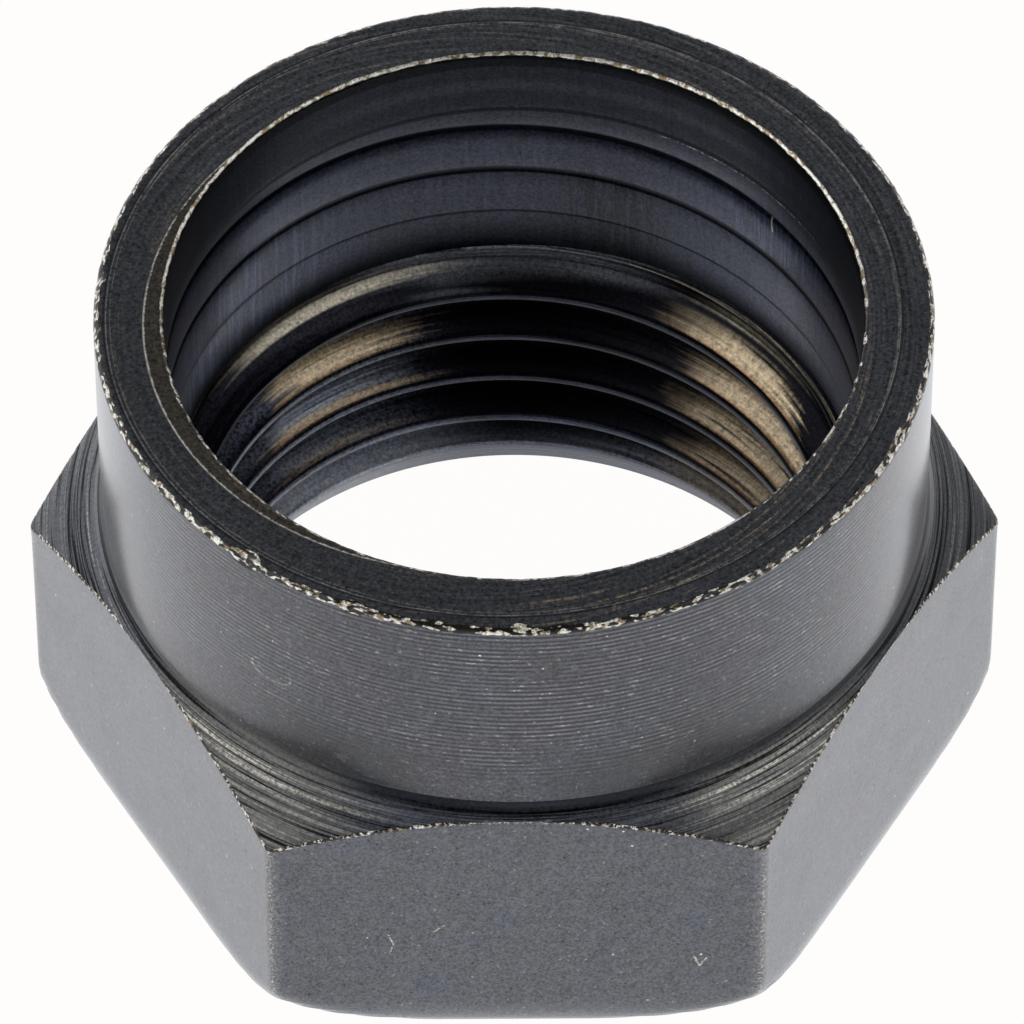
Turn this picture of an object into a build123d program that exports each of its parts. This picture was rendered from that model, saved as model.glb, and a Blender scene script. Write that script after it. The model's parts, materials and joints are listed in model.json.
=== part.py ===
"""Spindle nut: a hexagon nut with a round collar, counterbored above its thread.

Millimetres. The origin is the centre of the hexagon's end face. +Z runs along the
thread's axis towards the collar, and +X runs through a corner of the hexagon.
"""
from build123d import *
from math import radians, sqrt, tan
import os

# hexagon
across_flats = 27.0
corner_height = 9.1          # where the turned shoulder meets the hexagon's corners
upright_edge_radius = 0.4
end_rise = 1.6               # the flats start to curve in this far above the end face
end_draw_in = 0.6            # and have come in by this much when they reach it
end_corner_radius = 3.7      # forged roundness of the six lower corners
end_face_diameter = 24.8     # where that roundness runs out into the end face

# shoulder and collar
height = 19.4
shoulder_angle = 35.0        # from level
collar_diameter = 26.4
collar_foot_radius = 0.8
rim_break = 0.2              # on the rim's outer and inner edge

# hole
thread_diameter = 22.0
thread_pitch = 2.0
counterbore_clearance = 0.0  # on the diameter, over the thread's nominal size
counterbore_depth = 9.1
lead_in_angle = 45.0         # from the axis
countersink_diameter = 21.6
countersink_angle = 30.0     # from the axis

# sizes that follow
corner_radius = across_flats / sqrt(3)
collar_radius = collar_diameter / 2
minor_diameter = thread_diameter - 1.0825 * thread_pitch
bore_radius = minor_diameter / 2
counterbore_radius = (thread_diameter + counterbore_clearance) / 2
counterbore_floor = height - counterbore_depth
lead_in_height = (counterbore_radius - bore_radius) / tan(radians(lead_in_angle))
countersink_radius = countersink_diameter / 2
countersink_depth = (countersink_radius - bore_radius) / tan(radians(countersink_angle))
overrun = 1.0                # how far a shape that is cut off runs past the cut


def pair_of_flats(turn):
    """Two opposite flats, their lower edges curved in, as one long bar turned about Z."""
    flat = across_flats / 2
    curve_start = flat - end_draw_in
    reach = corner_radius + overrun
    with BuildSketch(Plane.XZ.offset(-reach)) as section:
        with BuildLine():
            Line((-curve_start, 0), (curve_start, 0))
            EllipticalCenterArc((curve_start, end_rise), end_draw_in, end_rise, start_angle=270, arc_size=90)
            Polyline((flat, end_rise), (flat, height), (-flat, height), (-flat, end_rise))
            EllipticalCenterArc((-curve_start, end_rise), end_draw_in, end_rise, start_angle=180, arc_size=90)
        make_face()
    return Rot(0, 0, turn) * extrude(section.sketch, 2 * reach)


def hexagon_blank():
    """The forged hexagon, as tall as the whole nut, with its upright edges eased."""
    blank = pair_of_flats(30) & pair_of_flats(90) & pair_of_flats(150)
    upright = blank.edges().filter_by(Axis.Z)
    return fillet(upright, upright_edge_radius)


def turned_envelope():
    """What the lathe leaves: rounded lower corners, shoulder, collar foot, collar and rim."""
    slope = tan(radians(shoulder_angle))
    arc_start = end_face_diameter / 2
    arc_end = arc_start + end_corner_radius
    shoulder_foot = corner_height - (arc_end - corner_radius) * slope
    shoulder_top = corner_height + (corner_radius - collar_radius) * slope
    with BuildSketch(Plane.XZ) as section:
        with BuildLine():
            Line((0, 0), (arc_start, 0))
            RadiusArc((arc_start, 0), (arc_end, end_corner_radius), -end_corner_radius)
            Polyline(
                (arc_end, end_corner_radius),
                (arc_end, shoulder_foot),
                (collar_radius, shoulder_top),
                (collar_radius, height - rim_break),
                (collar_radius - rim_break, height),
                (0, height),
                (0, 0),
            )
        make_face()
        collar_foot = section.vertices().sort_by_distance((collar_radius, shoulder_top))[0]
        fillet(collar_foot, collar_foot_radius)
    return revolve(section.sketch, Axis.Z)


def hole():
    """Countersink, thread bore at its minor diameter, lead-in and counterbore."""
    with BuildSketch(Plane.XZ) as section:
        with BuildLine():
            Polyline(
                (0, -overrun),
                (countersink_radius, -overrun),
                (countersink_radius, 0),
                (bore_radius, countersink_depth),
                (bore_radius, counterbore_floor - lead_in_height),
                (counterbore_radius, counterbore_floor),
                (counterbore_radius, height - rim_break),
                (counterbore_radius + rim_break, height),
                (counterbore_radius + rim_break, height + overrun),
                (0, height + overrun),
                (0, -overrun),
            )
        make_face()
    return revolve(section.sketch, Axis.Z)


def spindle_nut():
    return (hexagon_blank() & turned_envelope()) - hole()


os.makedirs("parts", exist_ok=True)
export_step(spindle_nut(), "parts/spindle_nut.step")
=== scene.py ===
# A black finished spindle nut: one turned, counterbored and threaded hexagon, seen from
# above in front on a white table. Lengths are millimetres up to the last step of the shape.
import json
import math

import bmesh
import bpy
from mathutils import Matrix, Vector


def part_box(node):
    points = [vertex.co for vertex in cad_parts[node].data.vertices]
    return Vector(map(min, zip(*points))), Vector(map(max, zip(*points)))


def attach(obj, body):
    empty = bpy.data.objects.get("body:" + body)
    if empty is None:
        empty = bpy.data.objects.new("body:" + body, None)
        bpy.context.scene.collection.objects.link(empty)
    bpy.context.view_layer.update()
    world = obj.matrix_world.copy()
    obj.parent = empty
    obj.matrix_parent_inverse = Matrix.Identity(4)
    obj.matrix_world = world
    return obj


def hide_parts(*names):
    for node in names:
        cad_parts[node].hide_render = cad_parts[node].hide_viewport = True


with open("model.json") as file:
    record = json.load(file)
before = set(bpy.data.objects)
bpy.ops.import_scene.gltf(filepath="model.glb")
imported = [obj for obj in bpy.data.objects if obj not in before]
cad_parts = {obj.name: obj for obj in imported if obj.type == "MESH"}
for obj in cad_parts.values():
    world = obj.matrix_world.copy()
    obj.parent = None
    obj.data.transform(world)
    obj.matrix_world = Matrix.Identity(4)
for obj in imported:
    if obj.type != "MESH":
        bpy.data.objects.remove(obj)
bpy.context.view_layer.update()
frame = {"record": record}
lowCorner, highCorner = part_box("spindle_nut")
mounts = {mount["name"]: mount for mount in frame["record"]["mounts"]}
mm = 0.001
print("frame loaded")


class Wire:
    # a node's output that takes part in Python expressions: every operator adds a Math node
    def __init__(self, graph, socket):
        self.graph = graph
        self.socket = socket

    def maths(self, operation, *values):
        return self.graph.node("ShaderNodeMath", {"operation": operation}, dict(enumerate((self, *values))))

    def output(self, name):
        return Wire(self.graph, self.socket.node.outputs[name])

    def __add__(self, other):
        return self.maths("ADD", other)

    def __sub__(self, other):
        return self.maths("SUBTRACT", other)

    def __rsub__(self, other):
        return self.maths("MULTIPLY_ADD", -1.0, other)

    def __mul__(self, other):
        return self.maths("MULTIPLY", other)

    def __truediv__(self, other):
        return self.maths("DIVIDE", other)

    def __rtruediv__(self, other):
        return self.maths("POWER", -1.0) * other

    def __pow__(self, other):
        return self.maths("POWER", other)

    def __abs__(self):
        return self.maths("ABSOLUTE")

    __radd__ = __add__
    __rmul__ = __mul__


class Graph:
    # one node tree, and the one way in which nodes are added to it
    def __init__(self, tree):
        self.tree = tree
        self.tree.nodes.clear()

    def node(self, kind, settings=None, values=None, output=0):
        node = self.tree.nodes.new(kind)
        for name, setting in (settings or {}).items():
            setattr(node, name, setting)
        for name, value in (values or {}).items():
            for item in value if isinstance(value, list) else [value]:
                if isinstance(item, Wire):
                    self.tree.links.new(item.socket, node.inputs[name])
                else:
                    node.inputs[name].default_value = item
        return Wire(self, node.outputs[output]) if len(node.outputs) else None


def least(a, b):
    return a.maths("MINIMUM", b)


def most(a, b):
    return a.maths("MAXIMUM", b)


def softLeast(a, b, reach):                  # a minimum that is rounded where both come within reach
    return a.maths("SMOOTH_MIN", b, reach)


def softMost(a, b, reach):
    return a.maths("SMOOTH_MAX", b, reach)


def sine(a):
    return a.maths("SINE")


def cosine(a):
    return a.maths("COSINE")


def root(a):
    return most(a, 0.0).maths("SQRT")


def highest(values):
    result = values[0]
    for value in values[1:]:
        result = most(result, value)
    return result


def fade(value, start, end):                 # 0 before start, 1 after end, smooth between them
    settings = {"interpolation_type": "SMOOTHSTEP"}
    values = {"Value": value, "From Min": start, "From Max": end}
    return value.graph.node("ShaderNodeMapRange", settings, values)


def hill(value, start, full, fall, end):     # 1 from full to fall, 0 before start and after end
    return fade(value, start, full) * (1.0 - fade(value, fall, end))


def line(distance, full, end):               # 1 up to full on both sides of a line, 0 from end
    return 1.0 - fade(abs(distance), full, end)


def helixPhase(height, start, pitch, turns):     # pitches from the helix, -0.5 to 0.5
    return ((height - start) / pitch - turns).maths("WRAP", 0.5, -0.5)


def noise(graph, vector, scale, detail=2.0, roughness=0.5):
    values = {"Vector": vector, "Scale": scale, "Detail": detail, "Roughness": roughness}
    return graph.node("ShaderNodeTexNoise", None, values)


def vectorOf(graph, x, y, z):
    return graph.node("ShaderNodeCombineXYZ", None, {0: x, 1: y, 2: z})


nutSizes = {
    "acrossFlats": (highCorner.y - lowCorner.y) / mm,
    "height": (highCorner.z - lowCorner.z) / mm,
    "cornerHeight": 9.1,                     # where the shoulder meets the hexagon's corners
    "uprightEdgeSoftness": 0.37,
    "endRise": 1.6,                          # the flats curve in over this height above the end face
    "endDrawIn": 0.6,
    "endCornerRadius": 3.7,
    "endFaceDiameter": 24.8,
    "endSoftness": 0.5,
    "shoulderAngle": math.radians(35.0),     # from level
    "shoulderBreak": 0.07,
    "footRadius": 0.8,
    "collarDiameter": 26.4,
    "rimBreak": 0.16,
    "innerBreak": 0.12,
    "counterboreDiameter": 2 * mounts["counterbore"]["dims"]["r_mm"],
    "counterboreDepth": 9.1,
    "minorDiameter": 2 * mounts["thread"]["dims"]["r_mm"],
    "pitch": 2.0,
    "crestPhase": 0.46,                      # height of a crest at the +X corner, from the end face
    "crestShare": 0.045,                     # half width of the crest, in pitches, before it rounds off
    "rootShare": 7 / 16,                     # pitches from the crest's middle to the groove's floor
    "grooveEnd": 1.4,                        # the groove runs out down to here, above the countersink
    "grooveRunOut": 0.75,                    # and over this height
    "leadInSoftness": 0.12,                  # where the thread meets the lead-in
    "sinkSoftness": 0.5,                     # where it meets the countersink
    "countersinkDiameter": 21.7,
    "countersinkSlope": math.tan(math.radians(29.0)),
    "traceDepth": 0.07,                      # what the threading tool left on the counterbore
    "traceShare": 0.075,                     # half width of a trace, in pitches
    "unevenness": 0.03,                      # of the forged flats
}
nutMesh = {
    "columns": 480,                          # round the nut, a multiple of 6
    "cornerShare": 0.05,                     # of a sixth's columns, each side of a corner
    "cornerReach": math.radians(1.2),        # the turn that those columns cover
    "crowding": 0.9,                         # how much closer the rows stand at a wall's ends
    "threadRows": 16,                        # for each pitch
    "threadPitches": 7,                      # enough to pass the thread at every angle
    "traceRows": 10,
    "tracePitches": 6,
    "weld": 0.0006,
}
zones = ["forged", "nicked", "shoulder", "collar", "rim", "counterbore", "thread"]
rimDings = [                                 # degrees, half length, depth on the rim, depth on the side
    (230.8, 0.75, 0.42, 0.34),
    (236.5, 0.35, 0.16, 0.10),
    (247.8, 0.55, 0.34, 0.30),
    (252.0, 0.30, 0.12, 0.12),
    (258.6, 0.60, 0.26, 0.14),
    (262.5, 0.45, 0.22, 0.20),
    (270.5, 0.55, 0.34, 0.12),
    (275.9, 0.60, 0.24, 0.16),
    (287.0, 0.35, 0.10, 0.14),
    (312.5, 0.50, 0.12, 0.18),
    (336.8, 0.60, 0.30, 0.30),
    (173.4, 0.45, 0.30, 0.26),
    (182.9, 0.40, 0.24, 0.24),
    (210.0, 0.40, 0.12, 0.14),
    (20.0, 0.50, 0.16, 0.20),
    (64.0, 0.40, 0.18, 0.14),
    (118.0, 0.55, 0.22, 0.16),
]


def shapeNut(graph, size, materials):
    # columns run round the axis, and stand closer together at the hexagon's corners
    place = graph.node("ShaderNodeSeparateXYZ", None, {0: graph.node("GeometryNodeInputPosition")})
    column = place.output("X") + 0.5
    row = place.output("Y") + 0.5
    sixth = column * 6.0
    corner = sixth.maths("ROUND")
    aside = abs(sixth - corner)
    share = nutMesh["cornerShare"]
    near = nutMesh["cornerReach"] / share
    far = (math.radians(30.0) - nutMesh["cornerReach"]) / (0.5 - share)
    fromCorner = least(aside, share) * near + most(aside - share, 0.0) * far
    angle = corner * math.radians(60.0) + (sixth - corner).maths("SIGN") * fromCorner
    turn = angle / (2 * math.pi)

    # sizes that follow
    apothem = size["acrossFlats"] / 2
    cornerRadius = size["acrossFlats"] / math.sqrt(3)
    collarRadius = size["collarDiameter"] / 2
    boreRadius = size["counterboreDiameter"] / 2
    minorRadius = size["minorDiameter"] / 2
    floorHeight = size["height"] - size["counterboreDepth"]
    slope = size["shoulderAngle"].maths("TANGENT")
    ring = vectorOf(graph, cosine(angle), sine(angle), 0.0)

    def strip(zone, rows, radius, height):
        values = {"Size X": 1, "Size Y": 1, "Vertices X": nutMesh["columns"] + 1, "Vertices Y": rows + 1}
        grid = graph.node("GeometryNodeMeshGrid", None, values)
        where = vectorOf(graph, radius * cosine(angle), radius * sine(angle), height)
        placed = graph.node("GeometryNodeSetPosition", None, {"Geometry": grid, "Position": where})
        settings = {"data_type": "INT", "domain": "FACE"}
        values = {"Geometry": placed, "Name": "zone", "Value": zones.index(zone)}
        return graph.node("GeometryNodeStoreNamedAttribute", settings, values)

    def ringNoise(scale, seed):              # varies round the nut only, and closes on itself
        moved = {"operation": "MULTIPLY_ADD"}
        vector = graph.node("ShaderNodeVectorMath", moved, {0: ring, 1: (13.2,) * 3, 2: (0.0, 0.0, seed)})
        return noise(graph, vector, scale, 3.0, 0.6)

    def hexagon(flat):                       # the radius of a hexagon with eased corners
        besideCorner = flat / cosine(math.radians(30.0) - fromCorner)
        otherSide = flat / cosine(fromCorner + math.radians(30.0))
        return softLeast(besideCorner, otherSide, size["uprightEdgeSoftness"])

    def outside(height):                     # the forged body's radius at a height
        drop = most(1.0 - height / size["endRise"], 0.0)
        flat = apothem - size["endDrawIn"] * (1.0 - root(1.0 - drop * drop))
        below = most(size["endCornerRadius"] - height, 0.0)
        arc = size["endFaceDiameter"] / 2 + root(size["endCornerRadius"] ** 2.0 - below * below)
        return softLeast(hexagon(flat), arc, size["endSoftness"])

    def coneHeight(radius):
        return size["cornerHeight"] + (cornerRadius - radius) * slope

    def thread(height):                      # the hole's radius between the end face and the counterbore
        fromCrest = abs(helixPhase(height, size["crestPhase"], size["pitch"], turn))
        eased = fade(fromCrest, size["crestShare"], size["rootShare"])
        eased = eased * fade(height, size["grooveEnd"], size["grooveEnd"] + size["grooveRunOut"])
        cut = minorRadius + (boreRadius - minorRadius) * eased
        leadIn = boreRadius - (floorHeight - height)
        sink = size["countersinkDiameter"] / 2 - height * size["countersinkSlope"]
        opened = softMost(softMost(cut, leadIn, size["leadInSoftness"]), sink, size["sinkSoftness"])
        return least(opened, boreRadius)

    def climb(start, path, low, high):       # heights along the helix, held between low and high
        first = ((low - start) / size["pitch"]).maths("FLOOR") - 1.0
        return least(most(first * size["pitch"] + start + path + turn * size["pitch"], low), high)

    # the end face and the forged body, up to the turned shoulder
    zero = row * 0.0
    crowded = row - sine(row * (2 * math.pi)) * (nutMesh["crowding"] / (2 * math.pi))
    mouth = thread(zero)
    foot = outside(zero)
    endFace = strip("forged", 3, mouth + (foot - mouth) * row, zero)
    rise = size["endCornerRadius"] * (1.0 - cosine(row * (math.pi / 2)))
    endRound = strip("forged", 12, outside(rise), rise)
    body = outside(size["endCornerRadius"])
    filletCentre = collarRadius + size["footRadius"]
    level = (filletCentre - body) / size["footRadius"]
    start = most(level.maths("ARCSINE"), size["shoulderAngle"])
    centreHeight = coneHeight(filletCentre) + size["footRadius"] / cosine(size["shoulderAngle"])
    filletRadius = filletCentre - size["footRadius"] * sine(start)
    filletHeight = centreHeight - size["footRadius"] * cosine(start)
    edge = coneHeight(body) + filletHeight - coneHeight(filletRadius)
    ease = least((body - filletRadius) * 0.5, size["shoulderBreak"])
    flatTop = edge - ease
    flatHeight = size["endCornerRadius"] + (flatTop - size["endCornerRadius"]) * crowded
    flats = strip("forged", 12, body, flatHeight)
    conicRadius = body - ease * cosine(size["shoulderAngle"])
    conicHeight = edge + ease * sine(size["shoulderAngle"])
    left = (1.0 - row) * (1.0 - row)
    bend = row * (1.0 - row) * 2.0
    right = row * row
    edgeRadius = body * (left + bend) + conicRadius * right
    edgeRound = strip("nicked", 3, edgeRadius, flatTop * left + edge * bend + conicHeight * right)
    shoulderRadius = conicRadius + (filletRadius - conicRadius) * row
    shoulder = strip("shoulder", 4, shoulderRadius, conicHeight + (filletHeight - conicHeight) * row)
    swing = start + (math.pi / 2 - start) * row
    footRadius = filletCentre - size["footRadius"] * sine(swing)
    fillet = strip("shoulder", 5, footRadius, centreHeight - size["footRadius"] * cosine(swing))

    # the collar, its nicked rim and the broken inner edge
    rough = ringNoise(2.2, 3.0)
    onRim = size["rimBreak"] * (rough * 1.6 + 0.2)
    onSide = size["rimBreak"] * (ringNoise(2.6, 11.0) * 1.6 + 0.2)
    for degrees, reach, rimDepth, sideDepth in rimDings:
        aside = abs((angle - math.radians(degrees)).maths("WRAP", math.pi, -math.pi))
        away = aside * (collarRadius / reach)
        dent = fade(1.0 - away, 0.0, 0.8)
        onRim = most(onRim, dent * rimDepth * (rough * 0.8 + 0.6))
        onSide = most(onSide, dent * sideDepth * (rough * 0.8 + 0.6))
    collarHeight = centreHeight + (size["height"] - onSide - centreHeight) * crowded
    collar = strip("collar", 10, collarRadius, collarHeight)
    roundIn = 1.0 - cosine(row * (math.pi / 2))
    roundUp = 1.0 - sine(row * (math.pi / 2))
    roundRadius = collarRadius - onRim * (roundIn * 0.6 + row * 0.4)
    roundHeight = size["height"] - onSide * (roundUp * 0.6 + (1.0 - row) * 0.4)
    rimRound = strip("nicked", 4, roundRadius, roundHeight)
    rimOut = collarRadius - onRim
    inner = size["innerBreak"] * (ringNoise(2.4, 27.0) * 1.4 + 0.3)
    rimIn = boreRadius + inner
    rim = strip("rim", 6, rimOut + (rimIn - rimOut) * crowded, size["height"])
    innerRadius = rimIn - inner * sine(row * (math.pi / 2))
    innerRound = strip("nicked", 3, innerRadius, size["height"] - inner * roundIn)

    # the counterbore: its rows follow the thread's helix, for the traces of its roots
    top = size["height"] - inner
    traceRows = nutMesh["tracePitches"] * nutMesh["traceRows"]
    step = (row * traceRows).maths("ROUND")
    whole = (step / nutMesh["traceRows"] + 0.001).maths("FLOOR")
    part = step - whole * nutMesh["traceRows"]
    late = part.maths("GREATER_THAN", 2.5) + part.maths("GREATER_THAN", 7.5)     # wide rows between traces
    path = (whole + part * 0.04 + late * 0.3) * size["pitch"]
    rootPhase = size["crestPhase"] + size["pitch"] / 2
    height = climb(rootPhase, path, floorHeight, top)
    fromRoot = helixPhase(height, rootPhase, size["pitch"], turn)
    trace = line(fromRoot, 0.0, size["traceShare"]) * hill(height, 10.5, 16.0, 16.9, 17.3)
    inside = fade(height, floorHeight, floorHeight + 0.5)
    counterbore = strip("counterbore", traceRows, boreRadius + size["traceDepth"] * trace * inside, height)

    # the thread, its lead-in and the countersink
    height = climb(size["crestPhase"], row * (nutMesh["threadPitches"] * size["pitch"]), zero, floorHeight)
    threadWall = strip("thread", nutMesh["threadPitches"] * nutMesh["threadRows"], thread(height), height)

    strips = [endFace, endRound, flats, edgeRound, shoulder, fillet, collar, rimRound, rim, innerRound,
              counterbore, threadWall]
    joined = graph.node("GeometryNodeJoinGeometry", None, {"Geometry": strips})
    values = {"Geometry": joined, "Distance": nutMesh["weld"]}
    welded = graph.node("GeometryNodeMergeByDistance", None, values)

    # the forging's slight unevenness, always inwards
    spot = graph.node("GeometryNodeInputPosition")
    height = graph.node("ShaderNodeSeparateXYZ", None, {0: spot}).output("Z")
    forged = hill(height, 0.05, 0.8, 8.6, 9.05)
    distance = graph.node("ShaderNodeVectorMath", {"operation": "LENGTH"}, {0: spot}, "Value")
    forged = forged * fade(distance, 12.5, 13.0)
    inward = forged * noise(graph, spot, 0.35, 3.0) * size["unevenness"] * -1.0
    normal = graph.node("GeometryNodeInputNormal")
    shift = graph.node("ShaderNodeVectorMath", {"operation": "SCALE"}, {0: normal, "Scale": inward})
    moved = graph.node("GeometryNodeSetPosition", None, {"Geometry": welded, "Offset": shift})
    metres = graph.node("GeometryNodeTransform", None, {"Geometry": moved, "Scale": (mm, mm, mm)})
    shape = graph.node("GeometryNodeRealizeInstances", None, {"Geometry": metres})
    zone = graph.node("GeometryNodeInputNamedAttribute", {"data_type": "INT"}, {"Name": "zone"})
    for number, name in enumerate(zones):
        chosen = zone.maths("COMPARE", number, 0.5)
        values = {"Geometry": shape, "Selection": chosen, "Material": materials[name]}
        shape = graph.node("GeometryNodeSetMaterial", None, values)
    return shape


def makeNut(materials):
    tree = bpy.data.node_groups.new("spindleNutShape", "GeometryNodeTree")
    sockets = {}
    for name, value in nutSizes.items():
        sockets[name] = tree.interface.new_socket(name, in_out="INPUT", socket_type="NodeSocketFloat")
    tree.interface.new_socket("Geometry", in_out="OUTPUT", socket_type="NodeSocketGeometry")
    graph = Graph(tree)
    entry = graph.node("NodeGroupInput")
    shape = shapeNut(graph, {name: entry.output(name) for name in nutSizes}, materials)
    graph.node("NodeGroupOutput", None, {"Geometry": shape})

    holder = bpy.data.objects.new("nutShape", bpy.data.meshes.new("nutShape"))
    bpy.context.scene.collection.objects.link(holder)
    modifier = holder.modifiers.new("shape", "NODES")
    modifier.node_group = tree
    for name, value in nutSizes.items():
        modifier[sockets[name].identifier] = float(value)
    evaluated = holder.evaluated_get(bpy.context.evaluated_depsgraph_get())
    mesh = bpy.data.meshes.new_from_object(evaluated)
    holder.modifiers.clear()
    bpy.data.objects.remove(holder)

    form = bmesh.new()
    form.from_mesh(mesh)
    bmesh.ops.recalc_face_normals(form, faces=form.faces)
    triangles = sum(len(face.verts) - 2 for face in form.faces)
    openEdges = sum(1 for edge in form.edges if not edge.is_manifold)
    print("nut mesh:", len(form.faces), "faces,", triangles, "triangles,", openEdges, "open edges, volume",
          round(form.calc_volume() * 1e9, 1))
    form.to_mesh(mesh)
    form.free()
    mesh.shade_smooth()
    mesh.set_sharp_from_angle(angle=math.radians(40.0))
    margin = 0.05
    threadRadius = (nutSizes["counterboreDiameter"] / 2 + margin / 5) * mm
    threadTop = (nutSizes["height"] - nutSizes["counterboreDepth"] - margin) * mm
    for edge in mesh.edges:                  # the thread's ridges are worn round
        end = mesh.vertices[edge.vertices[0]].co
        if math.hypot(end.x, end.y) < threadRadius and margin * mm < end.z < threadTop:
            edge.use_edge_sharp = False
    mesh.name = "spindle_nut_body"
    nut = bpy.data.objects.new("spindle_nut_body", mesh)
    bpy.context.scene.collection.objects.link(nut)
    return nut


steelLook = {                                # colours are linear, lengths are millimetres
    "oxide": (0.082, 0.084, 0.097),
    "oxideBlue": (0.066, 0.076, 0.104),
    "pit": (0.012, 0.012, 0.014),
    "bare": (0.860, 0.825, 0.730),
    "gold": (0.330, 0.250, 0.130),
    "nickShadow": (0.014, 0.012, 0.009),
    "edgeOlive": (0.050, 0.046, 0.033),      # on the worn upper edge of the hexagon
    "shoulder": (0.092, 0.090, 0.082),
    "shoulderBlue": (0.080, 0.088, 0.108),
    # painted shade for the corner at the collar's foot
    "foot": (0.007, 0.008, 0.011),
    "frontShade": (0.110, 0.116, 0.138),
    "ridge": (0.520, 0.495, 0.390),
    "turned": (0.066, 0.067, 0.079),
    "rim": (0.080, 0.084, 0.094),
    "rimBrown": (0.088, 0.076, 0.056),
    "bore": (0.030, 0.034, 0.054),
    "boreSideSheen": (0.042, 0.051, 0.090),
    # painted shade at the counterbore's ends, and the colour of its dark traces
    "boreShadeAndTraces": (0.008, 0.009, 0.012),
    "threadDark": (0.010, 0.010, 0.014),
    "crest": (0.052, 0.060, 0.090),
    "slateSheen": (0.620, 0.645, 0.720),
    "ochre": (0.480, 0.400, 0.300),
    "filmAndHighlight": (0.780, 0.600, 0.360),           # brown film and painted highlight on the flanks of the thread
    "rust": (0.600, 0.300, 0.120),
    "blueFilmAndHighlight": (0.460, 0.500, 0.580),
    # painted highlight colour for the lead-in cone
    "leadIn": (0.900, 0.810, 0.590),
    "metalRoughness": 0.34,
    "coatRoughness": 0.2,
    "coatIndex": 1.5,
    "feed": 0.2,                             # between the collar's turned lines
    "ringTrace": 16.82,                      # height of the counterbore's one trace that runs level
}
rimScores = [                                # circles that lie off the axis
    {"x": -1.24, "y": -0.38, "radius": 10.38, "halfWidth": 0.030, "strength": 1.0},
    {"x": -0.34, "y": -0.07, "radius": 12.47, "halfWidth": 0.018, "strength": 0.34},
    {"x": -0.30, "y": -0.05, "radius": 12.38, "halfWidth": 0.018, "strength": 0.20},
]
collarLoop = {                               # a curved scratch
    "degrees": -125.2,
    "height": 14.7,
    "halfWidth": 0.74,
    "halfHeight": 0.42,
}
boreKnock = {                                # a short upright mark in the counterbore
    "arc": 7.87,                             # along the wall, from the +X corner
    "height": 15.4,
    "lean": 0.12,
}
flatScratches = [                            # on the front flat: x and z of both ends, half width
    (-2.63, 5.05, -2.28, 5.40, 0.035),
    (-4.05, 4.90, -3.90, 4.45, 0.030),
    (-3.90, 4.45, -4.02, 3.95, 0.028),
    (5.62, 3.75, 5.78, 3.30, 0.050),
    (5.78, 3.30, 6.00, 3.70, 0.045),
]


class Steel(Graph):
    # the material of one zone of the nut, with what all of them use; spot, radius and z in millimetres
    def __init__(self, name):
        self.material = bpy.data.materials.new(name)
        self.material.use_nodes = True
        super().__init__(self.material.node_tree)
        metres = self.node("ShaderNodeTexCoord", None, None, "Object")
        self.spot = self.node("ShaderNodeVectorMath", {"operation": "SCALE"}, {0: metres, "Scale": 1 / mm})
        self.x = self.node("ShaderNodeSeparateXYZ", None, {0: self.spot})
        self.y = self.x.output("Y")
        self.z = self.x.output("Z")
        self.radius = root(self.x * self.x + self.y * self.y)
        self.angle = self.y.maths("ARCTAN2", self.x)

    def mix(self, factor, first, second):
        first = first if isinstance(first, Wire) else (*first, 1.0)
        second = second if isinstance(second, Wire) else (*second, 1.0)
        return self.node("ShaderNodeMix", {"data_type": "RGBA"}, {0: factor, 6: first, 7: second}, 2)

    def grain(self, scale, detail=2.0, roughness=0.6):
        return noise(self, self.spot, scale, detail, roughness)

    def drawn(self, across, slow, fast, detail=2.0, roughness=0.55):     # noise drawn out round the axis
        place = vectorOf(self, self.x * slow, self.y * slow, across * fast)
        return noise(self, place, 1.0, detail, roughness)

    def sector(self, middle, reach, soft):   # 1 within reach degrees of an angle, 0 soft degrees further
        away = (self.angle - math.radians(middle)).maths("WRAP", math.pi, -math.pi)
        return line(away, math.radians(reach), math.radians(reach + soft))

    def spots(self, scale, size):            # small round spots, and a chance for each of them
        cells = self.node("ShaderNodeTexVoronoi", None, {"Vector": self.spot, "Scale": scale}, "Distance")
        chance = self.node("ShaderNodeSeparateColor", None, {0: cells.output("Color")})
        return 1.0 - fade(cells, size * 0.45, size), chance

    def finish(self, colour, shade, rough, relief, coat=1.0, metallic=1.0):
        values = {0: colour, "Scale": most(shade, 0.1)}
        shaded = self.node("ShaderNodeVectorMath", {"operation": "SCALE"}, values)
        bump = self.node("ShaderNodeBump", None, {"Height": relief, "Distance": mm, "Strength": 1.0})
        values = {"Base Color": shaded, "Metallic": metallic, "Roughness": rough, "Normal": bump,
                  "Coat Weight": coat, "Coat Roughness": steelLook["coatRoughness"],
                  "Coat IOR": steelLook["coatIndex"]}
        shader = self.node("ShaderNodeBsdfPrincipled", None, values)
        self.node("ShaderNodeOutputMaterial", None, {"Surface": shader})
        return self.material


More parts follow.
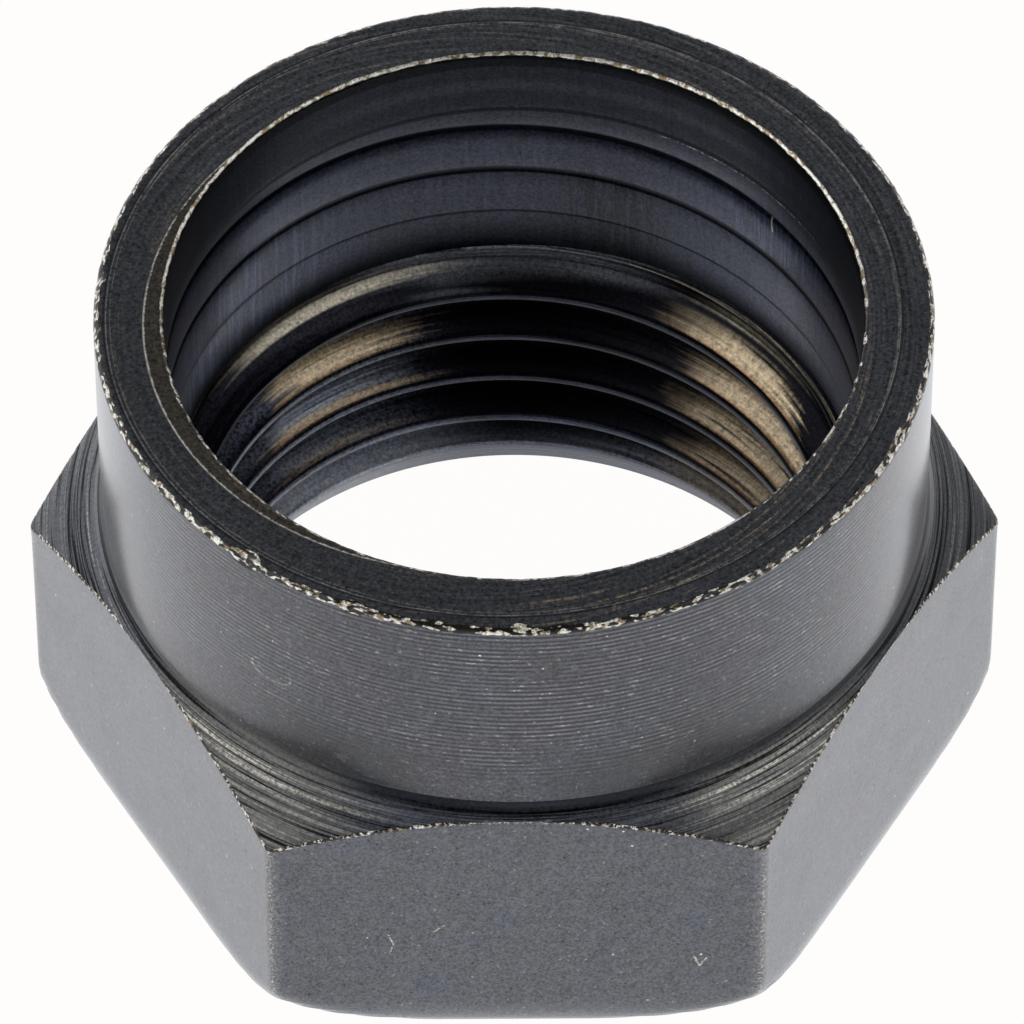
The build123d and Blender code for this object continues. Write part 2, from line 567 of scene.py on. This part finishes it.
def forgedSteel():                           # the flats, their rounded lower edges and the end face
    look = steelLook
    steel = Steel("forgedSteel")
    grain = steel.grain(11.0, 3.0, 0.8)
    clouds = steel.grain(3.0, 2.0, 0.6)
    mottle = steel.grain(0.6, 3.0)
    spot, chance = steel.spots(3.6, 0.2)
    pits = spot * chance.maths("LESS_THAN", 0.42)
    specks = spot * chance.maths("GREATER_THAN", 0.72) * (0.18 + chance.maths("GREATER_THAN", 0.97) * 0.5)
    slanting = vectorOf(steel, (steel.x + steel.z) * 1.3, steel.y * 2.0, (steel.z - steel.x) * 7.0)
    slanted = noise(steel, slanting, 1.0, 2.0, 0.6)
    hairs = fade(slanted, 0.64, 0.74)
    sixth = math.radians(60.0)
    cornerRadius = nutSizes["acrossFlats"] / math.sqrt(3)
    slope = math.tan(nutSizes["shoulderAngle"])
    fromCorner = abs(steel.angle.maths("WRAP", sixth / 2, -sixth / 2)) * cornerRadius
    under = nutSizes["cornerHeight"] + (cornerRadius - steel.radius) * slope - steel.z
    uneven = (clouds - 0.5) * 0.6
    upright = (1.0 - fade(fromCorner + uneven, 0.0, 0.45)) * fade(steel.z, 0.6, 3.0)
    ridge = 1.0 - fade(fromCorner + uneven * 0.4, 0.03, 0.13)
    top = 1.0 - fade(under + uneven * 0.2, 0.02, 0.10)
    flecks = fade(grain, 0.50, 0.62)
    crinkled = (1.0 - fade(slanted, 0.30, 0.38)) * (1.0 - fade(fromCorner + uneven, 1.2, 2.4))
    scratches = []
    for startX, startZ, endX, endZ, width in flatScratches:
        length = math.hypot(endX - startX, endZ - startZ)
        alongX, alongZ = (endX - startX) / length, (endZ - startZ) / length
        along = (steel.x - startX) * alongX + (steel.z - startZ) * alongZ
        aside = abs((steel.x - startX) * alongZ - (steel.z - startZ) * alongX)
        past = most(abs(along - length / 2) - length / 2, 0.0)
        scratches.append(1.0 - fade(aside + past, width * 0.4, width))
    frontFlat = -nutSizes["acrossFlats"] / 2
    scratched = highest(scratches) * (1.0 - fade(steel.y, frontFlat + 0.2, frontFlat + 0.5))
    scratched = scratched * fade(grain, 0.38, 0.55)
    colour = steel.mix(fade(mottle, 0.46, 0.66) * 0.6, look["oxide"], look["oxideBlue"])
    colour = steel.mix(most(upright * 0.10, ridge * flecks * 0.38), colour, look["bare"])
    colour = steel.mix(top * 0.5, colour, steel.mix(flecks, look["edgeOlive"], look["bare"]))
    crinkled = crinkled * (1.0 - fade(steel.z, 4.0, 6.5))
    colour = steel.mix(most(pits * 0.8, crinkled * 0.5), colour, look["pit"])
    colour = steel.mix(highest([specks, hairs * 0.12, scratched * 0.5]), colour, look["bare"])
    shade = 0.98 + (grain - 0.5) * 4.6 + (clouds - 0.5) * 0.8 + (mottle - 0.5) * 0.3
    relief = (grain - 0.5) * 0.016 + (clouds - 0.5) * 0.012
    coat = 1.0 - pits * 0.6 - fade(mottle, 0.52, 0.72) * 0.10
    return steel.finish(colour, shade, look["metalRoughness"], relief, coat)


def nickedSteel():                           # the broken edges of the rim, the hole and the hexagon
    look = steelLook
    steel = Steel("nickedSteel")
    coarse = steel.grain(4.2, 2.0, 0.7)
    onHexagon = 1.0 - fade(steel.z, 12.0, 13.0)
    chips = steel.drawn(steel.radius - steel.z, 3.2, 5.5, 1.0, 0.5)
    fine = chips + (steel.grain(7.5, 1.0, 0.5) - chips) * onHexagon
    bright = fade(fine - onHexagon * 0.03, 0.47, 0.55)
    inner = (1.0 - fade(steel.radius, 11.4, 11.7)) * steel.sector(95.0, 75.0, 25.0)
    below = nutSizes["height"] - steel.z - (fine - 0.5) * 0.16
    thinHighlight = 1.0 - fade(below, 0.05, 0.09)     # one thin bright line on the inner edge at the back: bare metal with a painted highlight
    bright = bright + (thinHighlight - bright) * inner
    colour = steel.mix(fade(coarse, 0.40, 0.54), look["gold"], look["bare"])
    colour = steel.mix(onHexagon * 0.15, colour, look["edgeOlive"])
    colour = steel.mix(bright, look["nickShadow"], colour)
    relief = ((coarse - 0.5) * 0.20 + (fine - 0.5) * 0.08) * (1.0 - inner * 0.8)
    return steel.finish(colour, coarse * 0.9 + 0.65, 0.4, relief)


def shoulderSteel():                         # turned grooves, olive at the corners, painted blue-black shade in front and painted shade at the foot
    look = steelLook
    steel = Steel("shoulderSteel")
    grooves = steel.drawn(steel.radius, 0.10, 11.0, 2.0, 0.75)
    groups = steel.drawn(steel.radius, 0.10, 2.6, 1.0)
    grain = steel.grain(9.0, 2.0, 0.7)
    front = steel.sector(270.0, 14.0, 15.0)
    # painted shade: the fillet in the corner at the collar's foot is darkened, most in front and at the
    # front right
    low = (1.0 - fade(steel.radius, 13.22, 13.38)) * (0.4 + steel.sector(318.0, 36.0, 14.0) * 0.5)
    low = most(low, (1.0 - fade(steel.radius, 13.28, 13.50)) * steel.sector(270.0, 18.0, 16.0) * 0.92)
    corners = fade(steel.radius, 13.35, 13.7) * (1.0 - fade(steel.radius, 13.85, 14.3) * 0.7)
    ridges = fade(grooves, 0.53, 0.60) * corners * (1.0 - front)
    cuts = 1.0 - fade(grooves, 0.38, 0.45)
    sides = most(steel.sector(180.0, 22.0, 20.0), steel.sector(0.0, 26.0, 20.0))
    colour = steel.mix(sides * 0.8, look["shoulder"], look["shoulderBlue"])
    # painted shade: the front gets its own blue-black tone and no coat
    colour = steel.mix(front, colour, look["frontShade"])
    colour = steel.mix(low, colour, look["foot"])
    colour = steel.mix(ridges * 0.55 * fade(grain, 0.3, 0.6), colour, look["ridge"])
    colour = steel.mix(cuts * 0.9, colour, look["pit"])
    shade = 1.0 + (groups - 0.5) * 1.4 + (grain - 0.5) * 2.6 + (grooves - 0.5) * 4.0
    # painted light and shade: brighter near the front corners, darker at the right and left sides
    paintedLightShoulder = most(steel.sector(306.0, 6.0, 10.0), steel.sector(230.0, 4.0, 8.0) * 0.3)
    paintedLightShoulder = paintedLightShoulder * (1.0 - fade(steel.radius, 13.9, 14.6))
    paintedShadeShoulder = most(steel.sector(0.0, 24.0, 14.0), steel.sector(188.0, 7.0, 12.0) * 0.35)
    shade = shade * (0.86 + paintedLightShoulder * 0.8 - paintedShadeShoulder * 0.48)
    relief = (grooves - 0.5) * 0.06 + (groups - 0.5) * 0.05
    return steel.finish(colour, shade, 0.36, relief, (1.0 - most(front, low)) * (1.0 - cuts * 0.9))


def collarSteel():                           # lines of the turning tool, strongest in front
    look = steelLook
    steel = Steel("collarSteel")
    grain = steel.grain(9.0, 3.0, 0.8)
    clouds = steel.grain(2.4, 2.0, 0.6)
    spot, chance = steel.spots(3.6, 0.18)
    patches = fade(steel.grain(0.24, 2.0), 0.46, 0.66)
    sway = steel.drawn(steel.z, 0.25, 1.5)
    wave = sine(steel.z * (2 * math.pi / look["feed"]) + sway * 3.0)
    front = most(steel.sector(292.0, 24.0, 26.0), steel.sector(238.0, 16.0, 24.0) * 0.65)
    strength = (front + 0.15) * fade(steel.z, 11.6, 14.0) * fade(steel.drawn(steel.z, 0.3, 0.9), 0.3, 0.6)
    dashes = fade(steel.drawn(steel.z, 1.4, 5.0, 1.0), 0.35, 0.62)
    lines = wave * strength * (0.45 + dashes * 0.9)
    glints = fade(steel.drawn(steel.z, 3.2, 9.0, 1.0), 0.63, 0.72) * steel.sector(275.0, 36.0, 20.0)
    colour = steel.mix(patches * 0.6, look["turned"], look["oxideBlue"])
    specks = spot * chance.maths("GREATER_THAN", 0.66) * (0.22 + chance.maths("GREATER_THAN", 0.96) * 0.6)
    colour = steel.mix(spot * chance.maths("LESS_THAN", 0.2) * 0.6, colour, look["pit"])
    colour = steel.mix(most(specks, glints * 0.16), colour, look["bare"])
    loopX = (steel.angle - math.radians(collarLoop["degrees"])) * (nutSizes["collarDiameter"] / 2)
    loopX = loopX / collarLoop["halfWidth"]
    loopZ = (steel.z - collarLoop["height"]) / collarLoop["halfHeight"]
    loop = line(root(loopX * loopX + loopZ * loopZ) - 1.0, 0.03, 0.09)
    loop = loop * (1.0 - fade(loopZ + loopX * 0.3, 0.4, 0.7))    # it is open at the top
    colour = steel.mix(loop * 0.26, colour, look["bare"])
    shade = 0.84 + (grain - 0.5) * 4.2 + (clouds - 0.5) * 0.9 + lines * 1.1
    # painted shade: darker low on the collar just above the fillet near the front corners, and a little
    # darker across the front
    paintedShadeCollar = most(steel.sector(245.0, 6.0, 10.0), steel.sector(293.0, 12.0, 12.0))
    paintedShadeCollar = paintedShadeCollar * (1.0 - fade(steel.z, 12.2, 14.4))
    shade = shade * (1.0 - paintedShadeCollar * 0.4) * (1.0 - steel.sector(270.0, 36.0, 26.0) * 0.10)
    relief = (grain - 0.5) * 0.010 + (clouds - 0.5) * 0.006 + lines * 0.005
    return steel.finish(colour, shade, look["metalRoughness"], relief)


def rimSteel():                              # fine rings, browner inside the first score
    look = steelLook
    steel = Steel("rimSteel")
    grain = steel.grain(9.0, 2.0, 0.7)
    spot, chance = steel.spots(3.2, 0.18)
    distances = []                           # from the centre of each score
    scores = []
    for score in rimScores:
        across = steel.x - score["x"]
        along = steel.y - score["y"]
        distances.append(root(across * across + along * along))
        away = distances[-1] - score["radius"] + (grain - 0.5) * 0.06
        scores.append(line(away, score["halfWidth"] * 0.5, score["halfWidth"] * 1.5) * score["strength"])
    rings = steel.drawn(distances[0], 0.15, 8.0, 3.0, 0.7)
    broken = fade(steel.drawn(steel.radius, 1.6, 0.5, 3.0, 0.7), 0.36, 0.52)
    broken = most(broken, steel.sector(212.0, 30.0, 14.0))
    fromFirst = distances[0] - rimScores[0]["radius"] + (grain - 0.5) * 0.1
    inner = 1.0 - fade(fromFirst, -0.08, 0.04)
    colour = steel.mix(inner, look["rim"], look["rimBrown"])
    worn = 0.3 + steel.sector(308.0, 26.0, 20.0) * 0.9
    colour = steel.mix(fade(rings, 0.56, 0.68) * fade(grain, 0.4, 0.6) * worn, colour, look["gold"])
    fromSecond = distances[1] - rimScores[1]["radius"] + (grain - 0.5) * 0.05
    cut = line(fromSecond - 0.07, 0.015, 0.05)   # dark, beside the second score
    colour = steel.mix(cut * 0.7, colour, look["pit"])
    colour = steel.mix(highest(scores) * broken, colour, look["bare"])
    colour = steel.mix(spot * chance.maths("GREATER_THAN", 0.6) * 0.5, colour, look["gold"])
    smoother = steel.sector(215.0, 40.0, 30.0)
    shade = 1.0 - smoother * 0.12 + (grain - 0.5) * 3.4 + (rings - 0.5) * (3.0 - smoother * 1.8)
    relief = (rings - 0.5) * 0.014 + (grain - 0.5) * 0.010
    return steel.finish(colour, shade, 0.42, relief)


def counterboreSteel():                      # painted shade at its ends, painted lighter and bluer reflection at the sides, with light upright scratches on the left
    look = steelLook
    steel = Steel("counterboreSteel")
    grain = steel.grain(8.5, 2.0, 0.7)
    around = vectorOf(steel, steel.x * 6.0, steel.y * 6.0, steel.z * 0.35)
    upright = noise(steel, around, 1.0, 3.0, 0.65)
    # painted reflection: the sides of the counterbore are lighter and bluer than its back
    sideSheen = 1.0 - steel.sector(90.0, 14.0, 40.0)
    low = 1.0 - fade(steel.z, 13.5, 15.5)
    left = steel.sector(145.0, 14.0, 12.0) * low
    stained = steel.sector(73.0, 5.0, 8.0) * low
    scuffed = steel.sector(40.0, 6.0, 8.0) * hill(steel.z, 13.4, 14.4, 15.6, 16.2)
    # painted shade at both ends of the counterbore: near its floor, and high up on the wall
    upper = fade(steel.z, 15.9, 16.5) * 0.42 + fade(steel.z, 16.7, 17.3) * 0.26
    upper = upper - line(steel.z - 17.95, 0.05, 0.4) * 0.3 * steel.sector(75.0, 35.0, 25.0)
    paintedShadeEnds = fade(steel.z + sideSheen * 0.35, 10.40, 12.2 - sideSheen * 0.55)
    paintedShadeEnds = paintedShadeEnds * (1.0 - most(upper, fade(steel.z, 18.6, 18.9)))
    colour = steel.mix(paintedShadeEnds, look["boreShadeAndTraces"], steel.mix(sideSheen, look["bore"], look["boreSideSheen"]))
    rootPhase = nutSizes["crestPhase"] + nutSizes["pitch"] / 2
    fromRoot = helixPhase(steel.z, rootPhase, nutSizes["pitch"], steel.angle / (2 * math.pi))
    fromRoot = abs(fromRoot) * nutSizes["pitch"] + fade(steel.z, 16.8, 17.2)     # the traces end here
    fromRing = steel.z - look["ringTrace"]
    wide = fade(steel.z, 12.6, 13.4) * 0.09
    lines = 1.0 - fade(least(fromRoot, abs(fromRing) + 0.05) - wide, 0.015, 0.085)
    colour = steel.mix(lines * 0.85, colour, look["boreShadeAndTraces"])
    marks = line(fromRing + 0.14, 0.01, 0.04) * steel.sector(46.0, 16.0, 4.0) * fade(grain, 0.45, 0.6)
    fromKnock = steel.z - boreKnock["height"]
    arc = steel.angle * (nutSizes["counterboreDiameter"] / 2) - boreKnock["arc"]
    knock = line(arc - fromKnock * boreKnock["lean"], 0.02, 0.05) * line(fromKnock, 0.25, 0.4)
    colour = steel.mix(most(marks * 0.3, knock * 0.5), colour, look["bare"])
    shade = 1.0 + (grain - 0.5) * 3.0 + (upright - 0.5) * 1.2
    shade = shade + (fade(upright, 0.50, 0.62) * 0.8 - 0.05) * left
    shade = shade - fade(upright, 0.44, 0.56) * stained * 0.7
    shade = shade + fade(upright, 0.48, 0.60) * scuffed * 1.1
    # painted shade: darker low on the back wall, near the counterbore's floor
    shade = shade * (1.0 - (1.0 - fade(steel.z, 12.8, 14.0)) * steel.sector(90.0, 34.0, 24.0) * 0.16)
    relief = (grain - 0.5) * 0.008 + (upright - 0.5) * 0.006
    coat = (0.46 - steel.sector(90.0, 12.0, 55.0) * 0.16) * paintedShadeEnds * (1.0 - lines * 0.9)
    coat = coat * (1.0 - steel.sector(0.0, 18.0, 22.0) * 0.8)
    return steel.finish(colour, shade, 0.42, relief, coat)


def threadSteel():                           # black, with a brown film and a painted highlight on the flanks at both sides
    look = steelLook
    steel = Steel("threadSteel")
    grain = steel.grain(8.5, 2.0, 0.7)
    floorHeight = nutSizes["height"] - nutSizes["counterboreDepth"]
    turns = steel.angle / (2 * math.pi)
    helix = (steel.z - nutSizes["crestPhase"]) / nutSizes["pitch"] - turns
    phase = helix.maths("WRAP", 0.5, -0.5)   # 0 on a crest, above it up to 0.5
    streaks = steel.drawn(helix, 0.12, 16.0, 2.0, 0.7)
    patches = steel.grain(0.9, 2.0, 0.6)
    ragged = (patches - 0.5) * 10.0 + (grain - 0.5) * 4.0 + (streaks - 0.5) * 26.0
    degrees = turns * 360.0 + ragged
    boreRadius = nutSizes["counterboreDiameter"] / 2
    fromCone = steel.radius - boreRadius + floorHeight - steel.z
    cone = line(fromCone, 0.05, 0.14) * fade(steel.z, 9.0, 9.3)

    # where the film and its painted highlight lie: two sides of the hole, on the flanks that face up
    later = most(steel.z - 5.5, 0.0) * 4.0   # higher up the film starts further round
    right = fade(degrees - later, 10.0, 22.0) * (1.0 - fade(degrees, 46.0, 62.0))
    right = right * (0.35 + fade(steel.z, 1.6, 8.2) * 0.65) * fade(steel.z, 1.0, 2.6)
    left = hill(degrees, 103.0, 124.0, 135.0, 143.0) * fade(steel.z, 2.0, 8.3)
    onLeft = fade(degrees, 84.0, 94.0)
    onRight = 1.0 - fade(degrees, 80.0, 90.0)
    fromStart = steel.z - turns * nutSizes["pitch"]
    last = onLeft * fade(fromStart, 8.0, 8.4)    # the groove under the lead-in
    flank = hill(phase, 0.085, 0.12, 0.28 - onRight * 0.05, 0.36 - onRight * 0.03) * (1.0 - cone)
    filmAndHighlight = flank * most(right, left) * fade(streaks, 0.24, 0.42) * (1.0 - last)
    rust = line(phase - 0.12, 0.01, 0.035) * most(right, left) * (1.0 - cone)

    # the lead-in cone: a painted highlight band that follows the thread, and a painted bright upper edge
    above = fromStart - onRight * 0.16
    leadInHighlight = hill(above, 9.00, 9.05, 9.10 + onRight * 0.14, 9.50 - onRight * 0.08)
    sides = most(hill(degrees, 97.0, 116.0, 134.0, 152.0) * 0.66, right)
    edge = line(steel.z - floorHeight + 0.14, 0.02, 0.06) * 0.4
    edge = edge * most(steel.sector(40.0, 26.0, 10.0), steel.sector(150.0, 16.0, 8.0))
    top = most(cone, fade(steel.z, 9.30, 9.55))
    leadInHighlight = top * leadInHighlight * sides * fade(streaks, 0.22, 0.40) * (1.0 - onRight * 0.6)
    leadIn = most(leadInHighlight, cone * edge * 0.8)

    # worn crests with a painted highlight, dust on the left, and a painted pale reflection at the run-out
    # low down
    broken = fade(steel.drawn(helix, 0.4, 2.0, 3.0, 0.6), 0.36, 0.60)
    # painted highlight on the worn crests: a lighter colour, stronger low down and on the left
    crest = line(phase, 0.02, 0.14) * (1.0 - cone) * (0.3 + broken)
    dusty = steel.sector(142.0, 20.0, 26.0) * fade(grain, 0.30, 0.60) * (1.0 - last * 0.85)
    # painted reflection: the countersink at the mouth takes the crests' lighter colour
    mouth = 1.0 - fade(steel.z, 1.5, 2.2)
    # painted reflection: a pale slate colour low in the hole at the run-out, most on the left
    low = (1.0 - fade(steel.z, 1.7, 3.4)) * steel.sector(144.0, 20.0, 34.0) * (0.55 + patches * 0.8)
    low = (low + (1.0 - fade(steel.z, 1.5, 2.3)) * 0.3) * fade(steel.z, 1.35, 1.75)
    brown = (1.0 - fade(steel.z, 1.8, 3.0)) * steel.sector(38.0, 16.0, 12.0) * fade(steel.z, 1.3, 1.7)
    crest = crest * (0.24 + (1.0 - fade(steel.z, 3.4, 4.0)) * 0.36 + steel.sector(152.0, 8.0, 8.0) * 0.4)
    colour = steel.mix(highest([crest, mouth * 0.8, dusty * 0.7]), look["threadDark"], look["crest"])
    # painted reflection: a pale patch at the back, near the lead-in
    paleSheen = top * (1.0 - fade(degrees, 98.0, 112.0) * (1.0 - fade(above, 8.9, 9.1)))
    paleSheen = paleSheen * steel.sector(92.0, 14.0, 22.0) * 0.25
    colour = steel.mix(most(low, paleSheen), colour, look["slateSheen"])
    colour = steel.mix(brown * 0.7, colour, look["ochre"])
    bluish = onLeft * fade(phase + (patches - 0.5) * 0.1, 0.17, 0.22) * (1.0 - fade(steel.z, 6.6, 7.3))
    colour = steel.mix(filmAndHighlight * 0.95, colour, steel.mix(bluish, look["filmAndHighlight"], look["blueFilmAndHighlight"]))
    colour = steel.mix(rust * 0.4, colour, look["rust"])
    colour = steel.mix(leadIn, colour, look["leadIn"])
    chatter = sine(turns * 800.0) * right * 0.12
    shade = 1.0 + (grain - 0.5) * 2.4 + (streaks - 0.5) * 1.4 + chatter
    relief = (grain - 0.5) * 0.010 + (streaks - 0.5) * 0.03
    coat = highest([most(filmAndHighlight, leadIn) * 0.7, low * 0.2, dusty * 0.4]) + 0.06
    metallic = 1.0 - most(most(low, brown) * 0.8, most(filmAndHighlight, leadIn) * 0.3)
    return steel.finish(colour, shade, 0.42 + mouth * 0.06, relief, coat, metallic)


viewpoint = {
    "elevation": math.radians(49.284),       # above level
    "azimuth": math.radians(-0.2096),
    "roll": math.radians(-0.1152),
    "distance": 342.26,
    "lens": 374.963,                         # on a 36 mm square sensor
    "aim": 9.1,                              # height on the axis
    "aimRight": -0.076,
    "aimUp": 0.3834,
}


def placeCamera():
    view = viewpoint
    level = math.cos(view["elevation"])
    right = Vector((math.cos(view["azimuth"]), math.sin(view["azimuth"]), 0.0))
    back = Vector((right.y * level, -right.x * level, math.sin(view["elevation"])))
    turned = Matrix((right, back.cross(right), back)).transposed() @ Matrix.Rotation(view["roll"], 3, "Z")
    aim = Vector((0.0, 0.0, view["aim"])) + turned @ Vector((view["aimRight"], view["aimUp"], 0.0))
    camera = bpy.data.objects.new("camera", bpy.data.cameras.new("camera"))
    camera.data.lens = view["lens"]
    camera.data.sensor_width = 36.0
    camera.data.clip_start = 0.01
    camera.matrix_world = Matrix.Translation((aim + back * view["distance"]) * mm) @ turned.to_4x4()
    bpy.context.scene.collection.objects.link(camera)
    bpy.context.scene.camera = camera


light = {                                    # the pairs are where one light gives way to the next
    "floor": 0.985,                          # share of the table that glows
    "paper": (1.0, 0.991, 0.976, 1.0),       # its colour to the camera
    "mirrored": (0.980, 0.985, 1.012, 1.0),  # and to the nut
    "tableHalf": 2.0,                        # in metres
    "tableDrop": 0.02,                       # in millimetres, to keep it off the end face
    "tint": (0.972, 0.982, 1.020, 1.0),
    "horizon": 0.9,
    "horizonEnd": (0.1, 0.75),
    "front": 0.05,                           # high up in front, on the camera's side
    "frontEnd": (-0.2, 0.4),
    "top": 0.14,
    "left": 1.05,                            # soft lights on both sides
    "right": 0.5,
    "leftEnd": (-0.1, 0.1),
    "sideStart": (0.26, 0.66),
    "high": 1.7,                             # both of them, high up
    "highStart": (0.6, 0.8),
}


def lightStudio():
    world = bpy.data.worlds.new("studio")
    world.use_nodes = True
    graph = Graph(world.node_tree)
    direction = graph.node("ShaderNodeTexCoord", None, None, "Generated")
    across = graph.node("ShaderNodeSeparateXYZ", None, {0: direction})
    up = across.output("Z")
    top = light["front"] + (light["top"] - light["front"]) * fade(across.output("Y"), *light["frontEnd"])
    strength = light["horizon"] + (top - light["horizon"]) * fade(up, *light["horizonEnd"])
    side = light["left"] + (light["right"] - light["left"]) * fade(across, *light["leftEnd"])
    side = side + (light["high"] - side) * fade(up, *light["highStart"])
    strength = strength + (side - strength) * fade(abs(across), *light["sideStart"])
    sky = graph.node("ShaderNodeBackground", None, {"Color": light["tint"], "Strength": strength})
    graph.node("ShaderNodeOutputWorld", None, {"Surface": sky})
    bpy.context.scene.world = world

    tablePaint = bpy.data.materials.new("whiteTable")
    tablePaint.use_nodes = True
    graph = Graph(tablePaint.node_tree)
    path = graph.node("ShaderNodeLightPath", None, None, "Is Camera Ray")
    seen = most(most(path, path.output("Is Glossy Ray")), path.output("Is Transmission Ray"))
    paper = graph.node("ShaderNodeBsdfDiffuse", None, {"Color": (0.85, 0.85, 0.85, 1.0)})
    values = {0: path, 6: light["mirrored"], 7: light["paper"]}
    white = graph.node("ShaderNodeMix", {"data_type": "RGBA"}, values, 2)
    glow = graph.node("ShaderNodeEmission", None, {"Color": white, "Strength": 1.0})
    mixed = graph.node("ShaderNodeMixShader", None, {0: seen * light["floor"], 1: paper, 2: glow})
    graph.node("ShaderNodeOutputMaterial", None, {"Surface": mixed})
    mesh = bpy.data.meshes.new("table")
    half, height = light["tableHalf"], -light["tableDrop"] * mm
    corners = [(-half, -half, height), (half, -half, height), (half, half, height), (-half, half, height)]
    mesh.from_pydata(corners, [], [(0, 1, 2, 3)])
    mesh.materials.append(tablePaint)
    table = bpy.data.objects.new("table", mesh)
    bpy.context.scene.collection.objects.link(table)


placeCamera()
lightStudio()
print("camera, table and light placed")
nut = makeNut({"forged": forgedSteel(), "nicked": nickedSteel(), "shoulder": shoulderSteel(),
               "collar": collarSteel(), "rim": rimSteel(), "counterbore": counterboreSteel(),
               "thread": threadSteel()})
print("nut shaped")
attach(nut, "root")
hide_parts("spindle_nut")

bpy.context.scene.view_settings.view_transform = "Standard"
